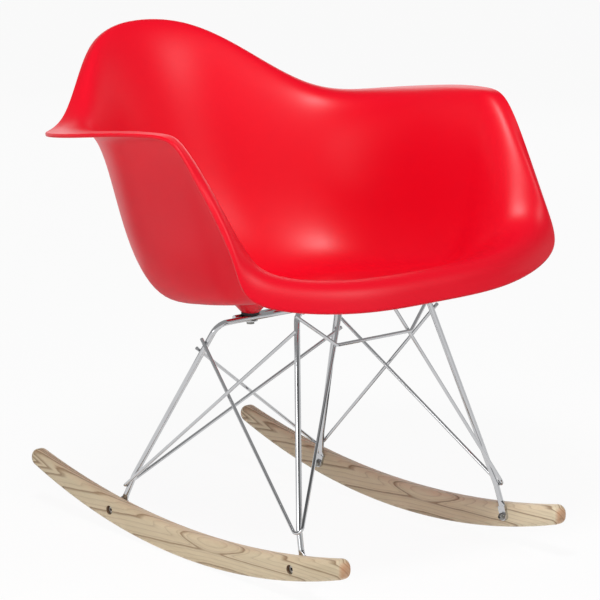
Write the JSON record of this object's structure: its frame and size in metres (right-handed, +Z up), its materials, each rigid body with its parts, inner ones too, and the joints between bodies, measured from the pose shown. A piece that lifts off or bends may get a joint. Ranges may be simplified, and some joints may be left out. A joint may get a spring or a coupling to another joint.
{
  "type": "rocking chair",
  "caption": "Moulded plastic armchair shell with rolled rim on a braced bent-wire base and curved wooden rockers.",
  "frame": {"origin": "on the floor, midway between the rockers, where they touch it at rest", "axes": "+X to the sitter's left, +Y to the back, +Z up"},
  "size_m": [0.6342, 0.6883, 0.6741],
  "materials": {
    "shell": "moulded in colour, satin",
    "chrome": "bright plated wire",
    "steel": "zinc-plated fasteners",
    "brass": "moulded-in inserts",
    "rubber": "black pads",
    "rocker_wood": "pale ash, clear satin lacquer"
  },
  "bodies": {
    "root": {"seat_shell": "shell", "shell_inserts": "brass", "mount_pads": "rubber", "mount_washers": "steel", "mount_bolts": "steel", "front_leg_frame": "chrome", "rear_leg_frame": "chrome", "front_mount_bar": "chrome", "rear_mount_bar": "chrome", "right_front_brace": "chrome", "left_front_brace": "chrome", "right_rear_brace": "chrome", "left_rear_brace": "chrome", "front_stretcher": "chrome", "right_rocker": "rocker_wood", "left_rocker": "rocker_wood", "rocker_screws": "steel", "rocker_washers": "steel", "rocker_sleeve_nuts": "steel"}
  },
  "joints": []
}
